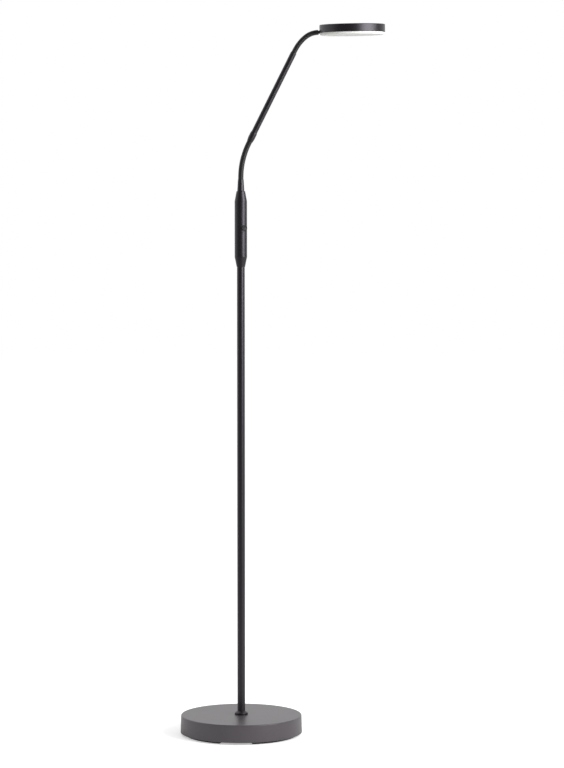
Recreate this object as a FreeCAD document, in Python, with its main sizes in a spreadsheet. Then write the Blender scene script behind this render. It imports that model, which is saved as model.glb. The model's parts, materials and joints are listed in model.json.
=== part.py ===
import FreeCAD, Part
import math
import os
import re

import Sketcher
from FreeCAD import Placement, Rotation, Vector

# Gooseneck reading floor lamp.
# Origin: centre of the base on the floor. +Z is up, the arm leans towards +X, and the
# lamp is seen from -Y. Millimetres and degrees.

SIZES = {
    # base
    "base_diameter": 252.0,
    "skirt_draw_in": 1.0,
    "base_height": 40.8,
    "base_edge_radius": 2.0,
    "cover_wall": 1.5,
    "foot_inset": 9.0,
    "foot_width": 17.0,
    "foot_height": 4.5,
    "foot_span": 56.5,
    "foot_turn": -4.9,
    "plate_thickness": 1.5,
    "plate_gap": 0.4,
    "weight_gap": 8.5,
    "weight_thickness": 18.0,
    "weight_recess_diameter": 30.0,
    "weight_recess_depth": 8.0,
    "boss_diameter": 12.0,
    "boss_circle": 160.0,
    "plate_screw_diameter": 4.0,
    "plate_screw_length": 12.0,
    "plate_screw_head": 7.0,
    "screw_head_height": 2.0,
    "nipple_diameter": 10.0,
    "nipple_bore": 6.0,
    "nipple_engagement": 14.0,
    "nipple_overrun": 2.0,
    "washer_diameter": 22.0,
    "washer_thickness": 1.5,
    "locknut_width": 17.0,
    "locknut_thickness": 5.0,
    "grommet_height": 14.0,
    "grommet_flange": 13.0,
    "grommet_waist": 9.0,
    "grommet_bore": 6.5,
    "grommet_lip": 1.4,
    # pole
    "pole_diameter": 16.0,
    "pole_wall": 1.2,
    "pole_length": 947.0,
    "collar_diameter": 27.5,
    "collar_rim": 4.0,
    "collar_cone": 3.5,
    "collar_tip": 17.2,
    "bush_length": 17.0,
    "lead_diameter": 5.0,
    # handle
    "handle_diameter": 25.5,
    "handle_wall": 1.15,
    "handle_length": 113.7,
    "lower_cone_length": 20.5,
    "lower_cone_tip": 17.2,
    "pole_seat_depth": 18.5,
    "upper_cone_length": 20.7,
    "upper_cone_tip": 17.7,
    "spigot_length": 8.0,
    "board_width": 18.0,
    "board_thickness": 1.6,
    "board_offset": 2.0,
    "board_slot_depth": 6.0,
    "switch_width": 6.0,
    "switch_height": 3.5,
    "button_height": 59.0,
    "button_turn": 38.0,
    "button_diameter": 9.8,
    "button_flange": 11.6,
    "button_travel": 1.0,
    "button_recess": 0.6,
    "plunger_diameter": 3.4,
    "bezel_diameter": 12.9,
    "bezel_stand": 0.6,
    "bezel_flange": 15.2,
    # necks and arm
    "ferrule_length": 24.0,
    "ferrule_base": 14.6,
    "ferrule_tip": 11.8,
    "ferrule_thread": 10.0,
    "neck_shank": 10.0,
    "neck_bore": 6.0,
    "rib_pitch": 2.3,
    "rib_depth": 0.35,
    "rim_wall": 0.15,
    "ball_gap": 0.3,
    "rim_gap": 0.15,
    "ball_root": 2.5,
    "lower_neck_diameter": 11.0,
    "lower_neck_straight": 4.0,
    "lower_neck_radius": 156.0,
    "lower_bend_back": 19.0,
    "lower_bend_forward": 10.0,
    "lower_side": 18.0,
    "arm_tilt": 26.5,
    "arm_diameter": 12.0,
    "arm_length": 202.3,
    "arm_ferrule_diameter": 13.8,
    "arm_ferrule_tip": 11.8,
    "arm_ferrule_end": 12.9,
    "arm_ferrule_end_taper": 3.0,
    "arm_ferrule_taper": 8.0,
    "arm_ferrule_length": 21.0,
    "arm_ferrule_web": 2.0,
    "upper_neck_diameter": 10.4,
    "upper_neck_straight": 5.0,
    "upper_first_radius": 84.4,
    "upper_first_tilt": 50.0,
    "upper_second_radius": 41.4,
    "upper_second_tilt": 79.0,
    "upper_neck_end": 8.0,
    "upper_bend_back": 24.0,
    "upper_bend_forward": 6.0,
    "upper_side": 18.0,
    # head
    "head_tilt": 0.9,
    "head_entry_tilt": 83.0,
    "head_diameter": 134.0,
    "head_rim_height": 16.2,
    "head_edge_radius": 1.2,
    "head_wall": 1.5,
    "head_neck_gap": 2.2,
    "stub_diameter": 6.9,
    "stub_bore": 4.0,
    "stub_seat": 3.7,
    "stub_inside": 14.0,
    "stub_height": 1.6,
    "bracket_width": 15.0,
    "bracket_depth": 10.0,
    "bracket_height": 13.0,
    "bracket_inset": 4.8,
    "bracket_ear": 2.0,
    "bracket_ear_radius": 3.0,
    "bracket_screw_diameter": 2.5,
    "bracket_screw_head": 4.6,
    "bracket_screw_spacing": 22.0,
    "boss_height": 3.2,
    "led_board_diameter": 101.0,
    "led_board_thickness": 1.6,
    "led_size": 3.0,
    "led_height": 0.8,
    "led_pitch": 13.5,
    "diffuser_diameter": 132.4,
    "diffuser_drop": 5.0,
    "diffuser_edge_radius": 3.0,
    "diffuser_wall": 1.5,
    "diffuser_face": 2.0,
    "diffuser_lip": 3.0,
    "reflector_thickness": 0.8,
    # running and seating clearances
    "seat_gap": 0.05,
    "slide_gap": 0.1,
    "snap_gap": 0.2,
}
FOOT_NAMES = ("foot_pad_front_right", "foot_pad_rear_right", "foot_pad_rear_left",
              "foot_pad_front_left")
BOSS_ANGLES = (-90.0, 30.0, 150.0)
HINGES = ("bend", "side", "bend") * 3
LED_RINGS = (0.32, 0.72)

DOC = FreeCAD.newDocument("reading_lamp")
SHEET = DOC.addObject("Spreadsheet::Sheet", "sizes")
for row, (alias, number) in enumerate(SIZES.items(), start=1):
    SHEET.set(f"A{row}", alias)
    SHEET.set(f"B{row}", str(number))
    SHEET.setAlias(f"B{row}", alias)
DOC.recompute()

# Levels up the lamp, each one worked out from the driving sizes.
PLATE_TOP = "foot_height + plate_thickness"
COVER_UNDER = "base_height - cover_wall"
WEIGHT_BOTTOM = f"{COVER_UNDER} - weight_thickness"
RECESS_ROOF = f"{WEIGHT_BOTTOM} + weight_recess_depth"
NIPPLE_FOOT = f"({RECESS_ROOF} - washer_thickness - locknut_thickness - nipple_overrun)"
POLE_TOP = "base_height + pole_length"
HANDLE_CONE_BOTTOM = f"{POLE_TOP} - pole_seat_depth"
HANDLE_BOTTOM = f"{HANDLE_CONE_BOTTOM} + lower_cone_length"
HANDLE_TOP = f"{HANDLE_BOTTOM} + handle_length"
FERRULE_BOTTOM = f"{HANDLE_TOP} + upper_cone_length"
NECK_START = f"{FERRULE_BOTTOM} + ferrule_length"
POLE_INSIDE = "(pole_diameter / 2 - pole_wall)"
HANDLE_INSIDE = "(handle_diameter / 2 - handle_wall)"
LEAD_HOLE = "(lead_diameter / 2 + snap_gap)"
BASE_TOP = "(base_diameter / 2 - skirt_draw_in)"
FOOT_OUTSIDE = "(base_diameter / 2 - foot_inset)"
WALL_SLOPE = "skirt_draw_in / (base_height - foot_height)"
GROMMET_WALL = f"(base_diameter / 2 - {WALL_SLOPE} * (grommet_height - foot_height))"


def linked(expression):
    """The expression with each size written as a cell of the sheet."""
    return re.sub(r"[a-z]+(?:_[a-z]+)+", lambda word: "sizes." + word.group(0), expression)


def size(expression):
    """The number that an expression of the sizes comes to."""
    return float(SHEET.evalExpression(linked(str(expression))))


def bind(thing, **properties):
    """Ties properties of an object to expressions of the sizes."""
    for name, expression in properties.items():
        thing.setExpression(name, linked(str(expression)))


def named(thing, label):
    thing.Label = label
    return thing


def origin_plane(body, role):
    for feature in body.Origin.OriginFeatures:
        if feature.Role == role:
            return feature
    raise ValueError(role)


def closed_sketch(body, name, role, corners):
    """A closed outline of straight sides whose corners are bound to the sizes."""
    sketch = body.newObject("Sketcher::SketchObject", name)
    sketch.AttachmentSupport = (origin_plane(body, role), [""])
    sketch.MapMode = "FlatFace"
    places = []
    for across, up in corners:
        places.append(Vector(size(across), size(up), 0))
    count = len(places)
    for index in range(count):
        side = Part.LineSegment(places[index], places[(index + 1) % count])
        sketch.addGeometry(side, False)
    for index in range(count):
        joined = Sketcher.Constraint("Coincident", index, 2, (index + 1) % count, 1)
        sketch.addConstraint(joined)
    for index, (across, up) in enumerate(corners):
        for kind, expression, axis in (("DistanceX", across, -2), ("DistanceY", up, -1)):
            if size(expression) == 0:
                held = Sketcher.Constraint("PointOnObject", index, 1, axis)
                sketch.addConstraint(held)
                continue
            driven = Sketcher.Constraint(kind, -1, 1, index, 1, size(expression))
            label = f"{kind.lower()}_{index}"
            sketch.renameConstraint(sketch.addConstraint(driven), label)
            sketch.setExpression(f"Constraints.{label}", linked(str(expression)))
    return sketch


def turned(label, corners, base=None):
    """A turned piece: the corners are (radius, height) round its section."""
    body = DOC.addObject("PartDesign::Body", label)
    sketch = closed_sketch(body, label + "_section", "XZ_Plane", corners)
    turn = body.newObject("PartDesign::Revolution", label + "_turn")
    turn.Profile = sketch
    turn.ReferenceAxis = (sketch, ["V_Axis"])
    turn.Angle = 360
    DOC.recompute()
    if base is not None:
        body.setExpression("Placement.Base.z", linked(str(base)))
    return body


def rounded(body, radius, places):
    """Fillets the circular edges of a turned body that lie at (radius, height) places."""
    tip = body.Tip
    edges = []
    for number, edge in enumerate(tip.Shape.Edges, start=1):
        if not isinstance(edge.Curve, Part.Circle):
            continue
        for across, up in places:
            near = abs(edge.Curve.Radius - size(across)) < 1e-4
            if near and abs(edge.Curve.Center.z - size(up)) < 1e-4:
                edges.append(f"Edge{number}")
    fillet = body.newObject("PartDesign::Fillet", body.Name + "_edge")
    fillet.Base = (tip, edges)
    bind(fillet, Radius=radius)
    DOC.recompute()
    return body


def cylinder(name, radius, height):
    thing = DOC.addObject("Part::Cylinder", name)
    bind(thing, Radius=radius, Height=height)
    return thing


def block(name, length, width, height):
    thing = DOC.addObject("Part::Box", name)
    bind(thing, Length=length, Width=width, Height=height)
    return thing


def at(thing, x=0, y=0, z=0):
    """Puts an object at a place bound to the sizes."""
    for axis, expression in (("x", x), ("y", y), ("z", z)):
        thing.setExpression(f"Placement.Base.{axis}", linked(str(expression)))
    return thing


def cut(label, base, *tools):
    """The base without its tools."""
    tool = tools[0]
    if len(tools) > 1:
        tool = DOC.addObject("Part::MultiFuse", label + "_tools")
        tool.Shapes = list(tools)
    result = DOC.addObject("Part::Cut", label)
    result.Base = base
    result.Tool = tool
    return named(result, label)


def fused(label, *things):
    result = DOC.addObject("Part::MultiFuse", label)
    result.Shapes = list(things)
    return named(result, label)


def grouped(label, things):
    """Identical separate solids that share one node."""
    result = DOC.addObject("Part::Compound", label)
    result.Links = list(things)
    return named(result, label)


# ---------------------------------------------------------------- base


def foot_pad(label, turn):
    """One arc of the ring of rubber feet, centred on the angle turn."""
    outer = cylinder(label + "_outer", FOOT_OUTSIDE, "foot_height")
    bind(outer, Angle="foot_span")
    inner = cylinder(label + "_inner", f"{FOOT_OUTSIDE} - foot_width", "foot_height")
    pad = cut(label, outer, inner)
    pad.Placement = Placement(Vector(), Rotation(Vector(0, 0, 1), turn - size("foot_span") / 2))
    return pad


def foot_pads():
    for index, label in enumerate(FOOT_NAMES):
        foot_pad(label, (index - 0.5) * 360 / len(FOOT_NAMES) + size("foot_turn"))


def on_circle(thing, circle, turn, z):
    """Puts an object on a circle round the axis."""
    angle = math.radians(turn)
    at(thing, f"{circle} / 2 * {math.cos(angle):.6f}", f"{circle} / 2 * {math.sin(angle):.6f}", z)
    return thing


def base_plate():
    disc = cylinder("base_plate_disc", "base_diameter / 2 - cover_wall - plate_gap",
                    "plate_thickness")
    at(disc, z="foot_height")
    holes = []
    for index, turn in enumerate(BOSS_ANGLES):
        hole = cylinder(f"plate_hole_{index}", "plate_screw_diameter / 2 + snap_gap",
                        "plate_thickness + 2")
        holes.append(on_circle(hole, "boss_circle", turn, "foot_height - 1"))
    cut("base_plate", disc, *holes)


def base_screws():
    screws = []
    for index, turn in enumerate(BOSS_ANGLES):
        corners = [("0", "-screw_head_height"),
                   ("plate_screw_head / 2", "-screw_head_height"),
                   ("plate_screw_head / 2", "0"),
                   ("plate_screw_diameter / 2", "0"),
                   ("plate_screw_diameter / 2", "plate_screw_length"),
                   ("0", "plate_screw_length")]
        screw = turned(f"plate_screw_{index}", corners)
        screws.append(on_circle(screw, "boss_circle", turn, "foot_height"))
    grouped("base_plate_screws", screws)


def base_cover():
    """The painted shell: a top, a slightly drawn-in skirt and a rounded top edge."""
    corners = [("base_diameter / 2 - cover_wall", "foot_height"),
               ("base_diameter / 2", "foot_height"),
               (BASE_TOP, "base_height"),
               ("nipple_diameter / 2 + snap_gap", "base_height"),
               ("nipple_diameter / 2 + snap_gap", COVER_UNDER),
               (f"{BASE_TOP} - cover_wall", COVER_UNDER)]
    shell = turned("base_cover_shell", corners)
    rounded(shell, "base_edge_radius", [(BASE_TOP, "base_height")])
    inlet = cylinder("base_cover_inlet", "grommet_waist / 2 + seat_gap", "cover_wall + 4")
    inlet.Placement = Placement(Vector(), Rotation(Vector(1, 0, 0), -90))
    at(inlet, y=f"{GROMMET_WALL} - cover_wall - 2", z="grommet_height")
    cut("base_cover", shell, inlet)


def base_weight():
    """The cast ballast under the cover, on three bosses that stand on the plate."""
    corners = [("nipple_diameter / 2 + snap_gap", RECESS_ROOF),
               ("weight_recess_diameter / 2", RECESS_ROOF),
               ("weight_recess_diameter / 2", WEIGHT_BOTTOM),
               (f"{BASE_TOP} - cover_wall - weight_gap", WEIGHT_BOTTOM),
               (f"{BASE_TOP} - cover_wall - weight_gap", COVER_UNDER),
               ("nipple_diameter / 2 + snap_gap", COVER_UNDER)]
    disc = turned("base_weight_disc", corners)
    bosses = [disc]
    holes = []
    for index, turn in enumerate(BOSS_ANGLES):
        boss = cylinder(f"weight_boss_{index}", "boss_diameter / 2",
                        f"{WEIGHT_BOTTOM} - ({PLATE_TOP}) + 1")
        bosses.append(on_circle(boss, "boss_circle", turn, PLATE_TOP))
        hole = cylinder(f"weight_hole_{index}", "plate_screw_diameter / 2 + seat_gap",
                        "plate_screw_length")
        holes.append(on_circle(hole, "boss_circle", turn, PLATE_TOP))
    cut("base_weight", fused("base_weight_blank", *bosses), *holes)


def pole_fixing():
    """Nipple, washer and locknut that clamp the pole's foot through the base."""
    corners = [("nipple_bore / 2", NIPPLE_FOOT),
               ("nipple_diameter / 2", NIPPLE_FOOT),
               ("nipple_diameter / 2", "base_height + nipple_engagement"),
               ("nipple_bore / 2", "base_height + nipple_engagement")]
    turned("base_nipple", corners)
    washer_bottom = f"{RECESS_ROOF} - washer_thickness"
    corners = [("nipple_diameter / 2 + snap_gap", washer_bottom),
               ("washer_diameter / 2", washer_bottom),
               ("washer_diameter / 2", RECESS_ROOF),
               ("nipple_diameter / 2 + snap_gap", RECESS_ROOF)]
    turned("base_washer", corners)
    prism = DOC.addObject("Part::Prism", "base_locknut_blank")
    prism.Polygon = 6
    bind(prism, Circumradius="locknut_width / sqrt(3)", Height="locknut_thickness")
    at(prism, z=f"{washer_bottom} - locknut_thickness")
    hole = cylinder("base_locknut_hole", "nipple_diameter / 2 + seat_gap", "locknut_thickness + 2")
    at(hole, z=f"{washer_bottom} - locknut_thickness - 1")
    cut("base_locknut", prism, hole)


def cord_grommet():
    """The rubber bush that the mains cord enters by, in the back of the skirt."""
    flat = f"sqrt(({GROMMET_WALL} - cover_wall)^2 - (grommet_flange / 2)^2)"
    inner = f"({flat} - snap_gap)"
    outer = f"({GROMMET_WALL} + snap_gap)"
    corners = [("grommet_bore / 2", f"{inner} - grommet_lip"),
               ("grommet_flange / 2", f"{inner} - grommet_lip"),
               ("grommet_flange / 2", inner),
               ("grommet_waist / 2", inner),
               ("grommet_waist / 2", outer),
               ("grommet_flange / 2", outer),
               ("grommet_flange / 2", f"{outer} + grommet_lip"),
               ("grommet_bore / 2", f"{outer} + grommet_lip")]
    bush = turned("cord_grommet", corners)
    bush.Placement = Placement(Vector(), Rotation(Vector(1, 0, 0), -90))
    at(bush, z="grommet_height")


# ---------------------------------------------------------------- pole


def pole_parts():
    corners = [(POLE_INSIDE, "0"), ("pole_diameter / 2", "0"),
               ("pole_diameter / 2", "pole_length"), (POLE_INSIDE, "pole_length")]
    turned("pole", corners, "base_height")
    bore = "pole_diameter / 2 + seat_gap"
    corners = [(bore, "0"), ("collar_diameter / 2", "0"), ("collar_diameter / 2", "collar_rim"),
               ("collar_tip / 2", "collar_rim + collar_cone"),
               (bore, "collar_rim + collar_cone")]
    turned("pole_collar", corners, "base_height")
    bore = "nipple_diameter / 2 + seat_gap"
    corners = [(bore, "0"), (f"{POLE_INSIDE} - seat_gap", "0"),
               (f"{POLE_INSIDE} - seat_gap", "bush_length"), (bore, "bush_length")]
    turned("pole_foot_bush", corners, "base_height")
    lead = cylinder("pole_lead", "lead_diameter / 2", f"{HANDLE_BOTTOM} - {NIPPLE_FOOT}")
    named(at(lead, z=NIPPLE_FOOT), "pole_lead")


# ---------------------------------------------------------------- handle


def board_slot(name, z):
    """The slot that holds one end of the circuit board."""
    slot = block(name, "board_thickness + 2 * slide_gap", "board_width + 2 * snap_gap",
                 "board_slot_depth")
    return facing(slot, "board_offset - board_thickness - slide_gap",
                  "-board_width / 2 - snap_gap", z)


def facing(thing, out, across, z):
    """Places an object in the button's own directions: out, across and up."""
    spin = Rotation(Vector(0, 0, 1), size("button_turn") - 90)
    place = spin.multVec(Vector(size(out), size(across), 0)) + Vector(0, 0, size(z))
    thing.Placement = Placement(place, spin)
    return thing


def handle_lower_cone():
    spigot = f"{HANDLE_INSIDE} - seat_gap"
    corners = [("pole_diameter / 2 + seat_gap", "0"),
               ("lower_cone_tip / 2", "0"),
               ("handle_diameter / 2", "lower_cone_length"),
               (spigot, "lower_cone_length"),
               (spigot, "lower_cone_length + spigot_length"),
               (LEAD_HOLE, "lower_cone_length + spigot_length"),
               (LEAD_HOLE, "pole_seat_depth"),
               ("pole_diameter / 2 + seat_gap", "pole_seat_depth")]
    cone = turned("handle_lower_cone_blank", corners, HANDLE_CONE_BOTTOM)
    slot = board_slot("lower_board_slot", f"{HANDLE_BOTTOM} + spigot_length - board_slot_depth")
    cut("handle_lower_cone", cone, slot)


def handle_upper_cone():
    spigot = f"{HANDLE_INSIDE} - seat_gap"
    thread = "ferrule_thread / 2 + seat_gap"
    corners = [(LEAD_HOLE, "-spigot_length"),
               (spigot, "-spigot_length"),
               (spigot, "0"),
               ("handle_diameter / 2", "0"),
               ("upper_cone_tip / 2", "upper_cone_length"),
               (thread, "upper_cone_length"),
               (thread, "upper_cone_length - neck_shank"),
               (LEAD_HOLE, "upper_cone_length - neck_shank")]
    cone = turned("handle_upper_cone_blank", corners, HANDLE_TOP)
    slot = board_slot("upper_board_slot", f"{HANDLE_TOP} - spigot_length")
    cut("handle_upper_cone", cone, slot)


BUTTON_Z = f"({HANDLE_BOTTOM} + button_height)"


def button_axis(thing, out):
    """Lays a piece that was turned about Z along the button's axis."""
    spin = Rotation(Vector(0, 0, 1), size("button_turn") - 90)
    place = spin.multVec(Vector(size(out), 0, 0)) + Vector(0, 0, size(BUTTON_Z))
    thing.Placement = Placement(place, spin * Rotation(Vector(0, 1, 0), 90))
    return thing


def handle_tube():
    corners = [(HANDLE_INSIDE, "0"), ("handle_diameter / 2", "0"),
               ("handle_diameter / 2", "handle_length"), (HANDLE_INSIDE, "handle_length")]
    tube = turned("handle_tube_blank", corners, HANDLE_BOTTOM)
    window = cylinder("handle_tube_window", "bezel_diameter / 2 + seat_gap", "handle_diameter")
    cut("handle_tube", tube, button_axis(window, "0"))


def handle_electronics():
    board_bottom = f"{HANDLE_BOTTOM} + spigot_length - board_slot_depth + snap_gap"
    board_top = f"{HANDLE_TOP} - spigot_length + board_slot_depth - snap_gap"
    board = block("dimmer_board", "board_thickness", "board_width",
                  f"{board_top} - ({board_bottom})")
    named(facing(board, "board_offset - board_thickness", "-board_width / 2", board_bottom),
          "dimmer_board")

    body = block("tact_switch_body", "switch_height", "switch_width", "switch_width")
    facing(body, "board_offset", "-switch_width / 2", f"{BUTTON_Z} - switch_width / 2")
    well = cylinder("tact_switch_well", "plunger_diameter / 2 + slide_gap", "switch_height")
    button_axis(well, "board_offset + switch_height - button_travel - 4 * slide_gap")
    cut("tact_switch", body, well)

    choke = cylinder("choke", "switch_width / 2", "switch_height + 2")
    button_axis(choke, "board_offset")
    choke.Placement.Base.z = size(f"{BUTTON_Z} + 4 * switch_width")
    parts = [choke]
    for index, (length, across, up) in enumerate(((4, 5, 3.5), (6, 8, -3), (3, 4, -5.5))):
        chip = block(f"chip_{index}", "board_thickness", f"{across}", f"{length}")
        facing(chip, "board_offset", f"-{across} / 2", f"{BUTTON_Z} + {up} * switch_width")
        parts.append(chip)
    grouped("board_components", parts)


BEZEL_FACE = "(handle_diameter / 2 + bezel_stand)"


def button_parts():
    """The bezel ring, pushed in from inside, and the sprung cap that it guides."""
    seat = f"(sqrt({HANDLE_INSIDE}^2 - (bezel_flange / 2)^2) - slide_gap)"
    back = f"({seat} - button_travel - 2 * slide_gap)"
    step = f"({back} + 2.2)"
    bore = "button_diameter / 2 + snap_gap"
    pocket = "button_flange / 2 + snap_gap"
    corners = [(pocket, back), ("bezel_flange / 2", back), ("bezel_flange / 2", seat),
               ("bezel_diameter / 2", seat), ("bezel_diameter / 2", BEZEL_FACE),
               (bore, BEZEL_FACE), (bore, step), (pocket, step)]
    button_axis(turned("button_bezel", corners), "0")

    face = f"({BEZEL_FACE} - button_recess)"
    flange_front = f"({step} - slide_gap)"
    flange_back = f"({back} + button_travel + slide_gap)"
    stem_end = "(board_offset + switch_height + button_travel + 4 * slide_gap)"
    corners = [("0", stem_end),
               ("plunger_diameter / 2", stem_end),
               ("plunger_diameter / 2", flange_back),
               ("button_flange / 2", flange_back),
               ("button_flange / 2", flange_front),
               ("button_diameter / 2", flange_front),
               ("button_diameter / 2", face),
               ("0", face)]
    button_axis(turned("button", corners), "0")

    foot = "(board_offset + switch_height - slide_gap)"
    plunger = cylinder("switch_plunger", "plunger_diameter / 2", f"{stem_end} - {foot}")
    named(button_axis(plunger, foot), "switch_plunger")


def neck_ferrule():
    """The tapered ferrule on the handle, screwed in, with the neck's socket in its top."""
    thread = "ferrule_thread / 2"
    socket = "lower_neck_diameter / 2 - rib_depth - rim_wall"
    corners = [(LEAD_HOLE, "-neck_shank"),
               (thread, "-neck_shank"),
               (thread, "0"),
               ("ferrule_base / 2", "0"),
               ("ferrule_tip / 2", "ferrule_length"),
               (socket, "ferrule_length"),
               (socket, "ferrule_length - neck_shank"),
               (LEAD_HOLE, "ferrule_length - neck_shank")]
    turned("neck_ferrule", corners, FERRULE_BOTTOM)


# ---------------------------------------------------------------- necks and arm


def heading(tilt):
    """The direction that leans by tilt from upright towards +X."""
    return Vector(math.sin(math.radians(tilt)), 0, math.cos(math.radians(tilt)))


def lean(tilt):
    return Rotation(Vector(0, 1, 0), tilt)


def along_arcs(start, tilt, arcs, steps):
    """Evenly spaced points on arcs that follow one another, each (radius, end tilt)."""
    lengths = []
    before = tilt
    for radius, end in arcs:
        lengths.append(radius * math.radians(end - before))
        before = end
    total = sum(lengths)
    points = []
    for step in range(steps + 1):
        run = total * step / steps
        place = start
        turn = tilt
        for (radius, end), length in zip(arcs, lengths):
            part = min(run, length)
            after = turn + math.degrees(part / radius)
            ahead = math.cos(math.radians(turn)) - math.cos(math.radians(after))
            rise = math.sin(math.radians(after)) - math.sin(math.radians(turn))
            place = place + Vector(radius * ahead, 0, radius * rise)
            turn = after
            run -= part
            if run <= 0:
                break
        points.append(place)
    return points


class Neck:
    """One flexible neck: its pivots, its straight ends and the limits of its hinges."""

    def __init__(self, name, diameter, start, tilt, arcs, first, last, last_tilt):
        self.name = name
        self.crest = size(diameter) / 2
        self.groove = self.crest - size("rib_depth")
        self.socket = self.groove - size("rim_wall")
        self.ball = self.socket - size("ball_gap")
        self.bore = size("neck_bore") / 2
        first_pivot = start + heading(tilt) * first
        pivots = along_arcs(first_pivot, tilt, arcs, len(HINGES) - 1)
        self.start = start
        self.end = pivots[-1] + heading(last_tilt) * last
        self.points = [start] + pivots + [self.end]
        self.limits = {
            "bend": (-size(f"{name}_bend_back"), size(f"{name}_bend_forward")),
            "side": (-size(f"{name}_side"), size(f"{name}_side")),
        }

    def tilt(self, index):
        run = self.points[index + 1] - self.points[index]
        return math.degrees(math.atan2(run.x, run.z))

    def length(self, index):
        return (self.points[index + 1] - self.points[index]).Length

    def axis(self, index):
        """The axis of the hinge at the top of one length."""
        if HINGES[index] == "bend":
            return Vector(0, 1, 0)
        middle = (self.tilt(index) + self.tilt(index + 1)) / 2
        return lean(middle).multVec(Vector(1, 0, 0))


def ribbed(neck, length):
    """A ribbed rod along Z, of whole ribs: each is a ruled loft through four circles."""
    count = max(1, round(length / size("rib_pitch")))
    pitch = length / count
    circles = []
    for rib in range(count):
        for share, radius in ((0, neck.crest), (0.45, neck.crest), (0.62, neck.groove),
                              (0.83, neck.groove)):
            place = Vector(0, 0, (rib + share) * pitch)
            circles.append(Part.Wire(Part.makeCircle(radius, place, Vector(0, 0, 1))))
    circles.append(Part.Wire(Part.makeCircle(neck.crest, Vector(0, 0, length), Vector(0, 0, 1))))
    return Part.makeLoft(circles, True, True)


def above_rim(normal, gap):
    """All that lies over a plane through the pivot with this normal, less a gap."""
    reach = 40.0
    space = Part.makeBox(2 * reach, 2 * reach, reach, Vector(-reach, -reach, -gap))
    space.Placement = Placement(Vector(), Rotation(Vector(0, 0, 1), normal))
    return space


def neck_length(neck, index):
    """One rigid length: a socket round the ball below it and a ball for the one above."""
    length = neck.length(index)
    tilt = neck.tilt(index)
    last = len(neck.points) - 2
    solid = ribbed(neck, length)
    if index < last:
        for limit in neck.limits[HINGES[index]]:
            turn = Rotation(neck.axis(index), limit)
            normal = turn.multVec(heading(neck.tilt(index + 1)))
            space = above_rim(lean(-tilt).multVec(normal), size("rim_gap"))
            space.translate(Vector(0, 0, length))
            solid = solid.cut(space)
        root = -math.degrees(math.asin(size("ball_root") / neck.ball))
        ball = Part.makeSphere(neck.ball, Vector(0, 0, length), Vector(0, 0, 1), root, -root, 360)
        solid = solid.fuse(ball)
    shank = size("neck_shank - seat_gap")
    if index == 0:
        solid = solid.fuse(Part.makeCylinder(neck.socket - size("seat_gap"), shank,
                                             Vector(0, 0, -shank)))
    if index > 0:
        solid = solid.cut(Part.makeSphere(neck.socket))
    bore = Part.makeCylinder(neck.bore, length + 2 * shank, Vector(0, 0, -1.5 * shank))
    return solid.cut(bore), tilt


def place_neck(neck):
    """Writes every length of a neck as a part of its own; the last carries its own end."""
    for index in range(len(neck.points) - 1):
        shape, tilt = neck_length(neck, index)
        if index == len(neck.points) - 2:
            shape = neck.finish(neck, shape)
        label = f"{neck.name}_neck_{index:02d}"
        feature = DOC.addObject("Part::Feature", label)
        feature.Shape = shape.removeSplitter()
        feature.Placement = Placement(neck.points[index], lean(tilt))


def shank_finish(neck, shape):
    """A plain shank on the last length, for the arm's socket."""
    length = neck.length(len(neck.points) - 2)
    shank = size("neck_shank - seat_gap")
    rod = Part.makeCylinder(neck.socket - size("seat_gap"), shank, Vector(0, 0, length))
    bore = Part.makeCylinder(neck.bore, 2 * shank, Vector(0, 0, length - shank / 2))
    return shape.fuse(rod).cut(bore)


def stub_finish(neck, shape):
    """A counterbore in the last length, for the head's stub."""
    length = neck.length(len(neck.points) - 2)
    depth = size("stub_seat + slide_gap")
    seat = Part.makeCylinder(size("stub_diameter / 2 + seat_gap"), depth + 1,
                             Vector(0, 0, length - depth))
    return shape.cut(seat)


def tilted(body, place, tilt):
    body.Placement = Placement(place, lean(tilt))
    return body


def arm_parts(start):
    """The ferrule, the tube and the lead between the two necks, from the lower neck's end."""
    tilt = size("arm_tilt")
    shoulder = "(neck_shank + arm_ferrule_web)"
    socket = "lower_neck_diameter / 2 - rib_depth - rim_wall"
    seat = "arm_diameter / 2 + seat_gap"
    corners = [(socket, "0"),
               ("arm_ferrule_tip / 2", "0"),
               ("arm_ferrule_diameter / 2", "arm_ferrule_taper"),
               ("arm_ferrule_diameter / 2", "arm_ferrule_length - arm_ferrule_end_taper"),
               ("arm_ferrule_end / 2", "arm_ferrule_length"),
               (seat, "arm_ferrule_length"),
               (seat, shoulder),
               (LEAD_HOLE, shoulder),
               (LEAD_HOLE, "neck_shank"),
               (socket, "neck_shank")]
    tilted(turned("arm_ferrule", corners), start, tilt)
    inside = "upper_neck_diameter / 2 - rib_depth - rim_wall"
    corners = [(inside, shoulder), ("arm_diameter / 2", shoulder),
               ("arm_diameter / 2", "arm_length"), (inside, "arm_length")]
    tilted(turned("arm_tube", corners), start, tilt)
    lead = cylinder("arm_lead", "lead_diameter / 2", "arm_length - neck_shank - 2 * seat_gap")
    tilted(lead, start + heading(tilt) * size("neck_shank / 2"), tilt)


# ---------------------------------------------------------------- head


class Head:
    """The head's own frame: its centre at the underside of the rim, and its small tilt."""

    def __init__(self, entry):
        self.turn = Rotation(Vector(0, 1, 0), -size("head_tilt"))
        self.entry = Vector(-size("head_diameter / 2 + head_neck_gap"), 0, size("stub_height"))
        self.centre = entry - self.turn.multVec(self.entry)
        self.rise = 90 - size("head_entry_tilt") - size("head_tilt")

    def place(self, thing):
        thing.Placement = Placement(self.centre, self.turn) * thing.Placement
        return thing

    def along_stub(self, thing, behind):
        """Lays a piece turned about Z on the stub's line, starting behind the neck's end."""
        spin = Rotation(Vector(0, 1, 0), 90 - self.rise)
        start = self.entry - spin.multVec(Vector(0, 0, size(behind)))
        thing.Placement = Placement(start, spin)
        return thing


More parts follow.
